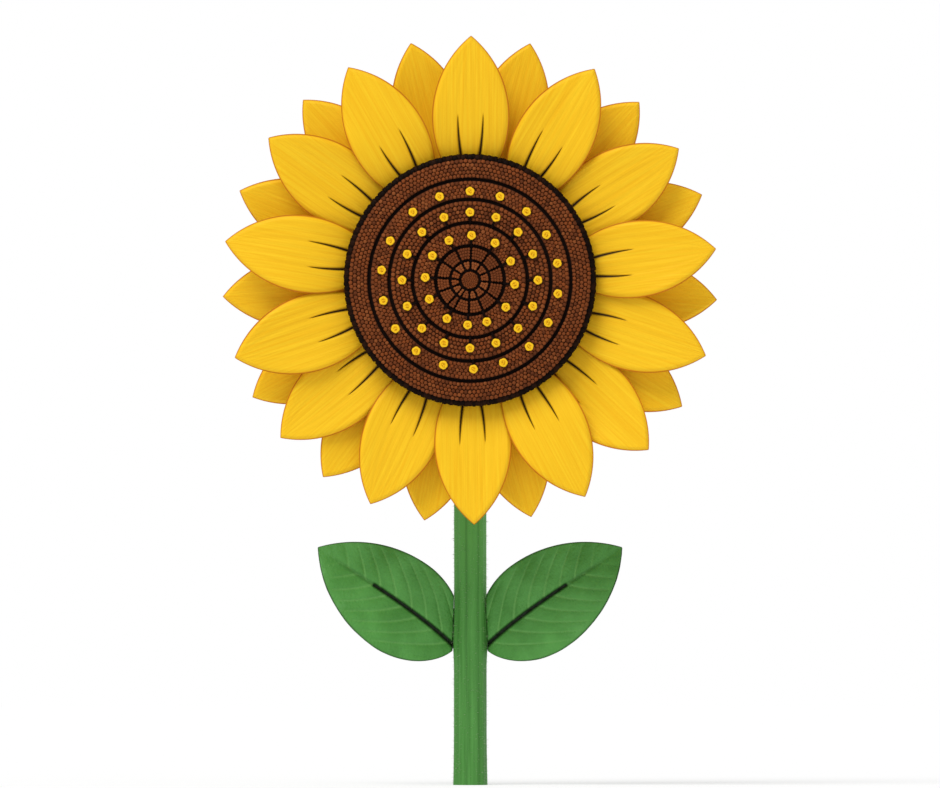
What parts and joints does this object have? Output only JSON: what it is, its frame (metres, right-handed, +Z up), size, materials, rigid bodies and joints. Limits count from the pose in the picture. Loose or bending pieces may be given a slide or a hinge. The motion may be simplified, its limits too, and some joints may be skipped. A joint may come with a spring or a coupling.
{
  "type": "sunflower plant",
  "caption": "Sunflower plant: a flat head of brown florets ringed by overlapping yellow petals, facing forward on a straight green stem with opposite leaves, cut flat at the ground.",
  "frame": {"origin": "middle of the flat cut under the stem, at ground level", "axes": "+Z up along the stem, -Y the way the head faces, +X to the right as seen from in front"},
  "size_m": [0.2541, 0.0943, 0.3856],
  "materials": {
    "stem_green": "matte",
    "receptacle_green": "matte",
    "disc_brown": "matte",
    "petal_yellow": "matte",
    "leaf_green": "satin"
  },
  "bodies": {
    "root": {"disc": "disc_brown", "leaf_left": "leaf_green", "leaf_right": "leaf_green", "neck": "stem_green", "petal_back_01": "petal_yellow", "petal_back_02": "petal_yellow", "petal_back_03": "petal_yellow", "petal_back_04": "petal_yellow", "petal_back_05": "petal_yellow", "petal_back_06": "petal_yellow", "petal_back_07": "petal_yellow", "petal_back_08": "petal_yellow", "petal_back_09": "petal_yellow", "petal_back_10": "petal_yellow", "petal_back_11": "petal_yellow", "petal_back_12": "petal_yellow", "petal_back_13": "petal_yellow", "petal_front_01": "petal_yellow", "petal_front_02": "petal_yellow", "petal_front_03": "petal_yellow", "petal_front_04": "petal_yellow", "petal_front_05": "petal_yellow", "petal_front_06": "petal_yellow", "petal_front_07": "petal_yellow", "petal_front_08": "petal_yellow", "petal_front_09": "petal_yellow", "petal_front_10": "petal_yellow", "petal_front_11": "petal_yellow", "petal_front_12": "petal_yellow", "petal_front_13": "petal_yellow", "petal_front_14": "petal_yellow", "receptacle": "receptacle_green", "stem": "stem_green"}
  },
  "joints": []
}
